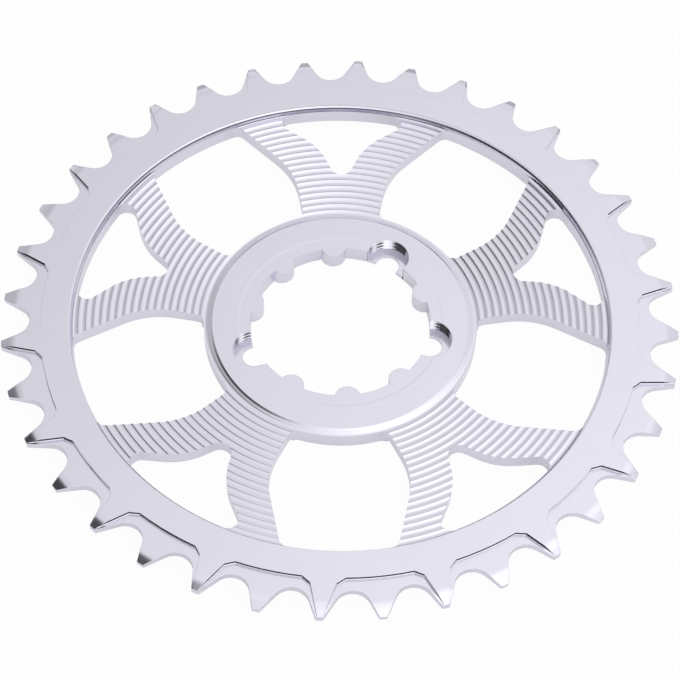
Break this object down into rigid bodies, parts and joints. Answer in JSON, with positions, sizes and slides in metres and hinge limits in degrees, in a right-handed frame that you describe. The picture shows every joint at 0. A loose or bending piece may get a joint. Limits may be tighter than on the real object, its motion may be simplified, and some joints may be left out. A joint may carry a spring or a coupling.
{
  "type": "bicycle chainring",
  "caption": "Direct-mount bicycle chainring with alternating wide and narrow teeth, forked grooved spokes and a splined hub with bolt seats, cut from one aluminium plate.",
  "frame": {"origin": "on the bore axis, in the plane of the hub's back face, on which the chainring lies", "axes": "+Z along the bore axis towards the face with the bolt seats, +Y along the middle of one spoke"},
  "size_m": [0.15, 0.15, 0.007],
  "materials": {
    "anodised": "silver anodised, finely turned"
  },
  "bodies": {
    "root": {"chainring": "anodised"}
  },
  "joints": []
}
